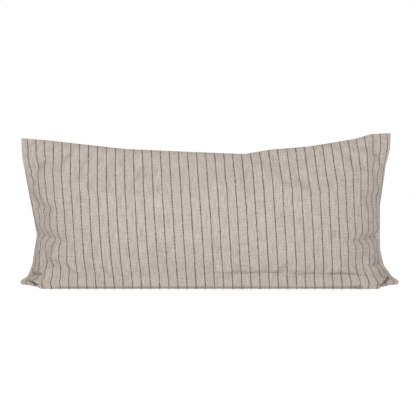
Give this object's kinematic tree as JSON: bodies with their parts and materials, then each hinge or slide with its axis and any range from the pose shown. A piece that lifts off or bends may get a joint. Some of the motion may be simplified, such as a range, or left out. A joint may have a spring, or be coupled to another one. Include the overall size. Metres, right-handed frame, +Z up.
{
  "type": "throw pillow",
  "caption": "Long lumbar throw pillow: striped linen cover with knife-edge seams and a concealed zip in the bottom seam, over a soft removable insert.",
  "frame": {"origin": "on the surface that the pillow stands on, under the middle of its length and depth", "axes": "+X along the pillow's length to its right, seen from the front; the front face with the visible zip seam faces -Y; +Z up to the top seam"},
  "size_m": [0.8937, 0.1562, 0.367],
  "materials": {
    "striped_linen": "matte",
    "zip_tape": "matte",
    "zip_coil": "satin",
    "zip_enamel": "satin",
    "sewing_thread": "matte",
    "label_satin": "satin",
    "insert_cotton": "matte",
    "insert_thread": "matte",
    "feather_fill": "matte"
  },
  "bodies": {
    "cushion": {"cover_front_panel": "striped_linen", "cover_back_panel": "striped_linen", "cover_left_seam_thread": "sewing_thread", "cover_top_seam_thread": "sewing_thread", "cover_right_seam_thread": "sewing_thread", "zip_tape_front": "zip_tape", "zip_tape_back": "zip_tape", "zip_coil_front": "zip_coil", "zip_coil_back": "zip_coil", "zip_top_stop": "zip_enamel", "zip_bottom_stop": "zip_enamel", "zip_stitching_front": "sewing_thread", "zip_stitching_back": "sewing_thread", "care_label": "label_satin", "insert_front_panel": "insert_cotton", "insert_back_panel": "insert_cotton", "insert_left_seam_thread": "insert_thread", "insert_top_seam_thread": "insert_thread", "insert_right_seam_thread": "insert_thread", "insert_fill": "feather_fill"},
    "slider": {"zip_slider": "zip_enamel"},
    "pull_tab": {"zip_pull_tab": "zip_enamel"}
  },
  "joints": [
    {"name": "zip_slide", "type": "slide", "parent": "cushion", "child": "slider", "axis": [1, 0, 0], "range_m": [-0.674, 0]},
    {"name": "pull_tab_swing", "type": "hinge", "parent": "slider", "child": "pull_tab", "pos_m": [0.3372, -0.04947, 0.00514], "axis": [0, 0.1736, -0.9848], "range_deg": [0, 165]}
  ]
}
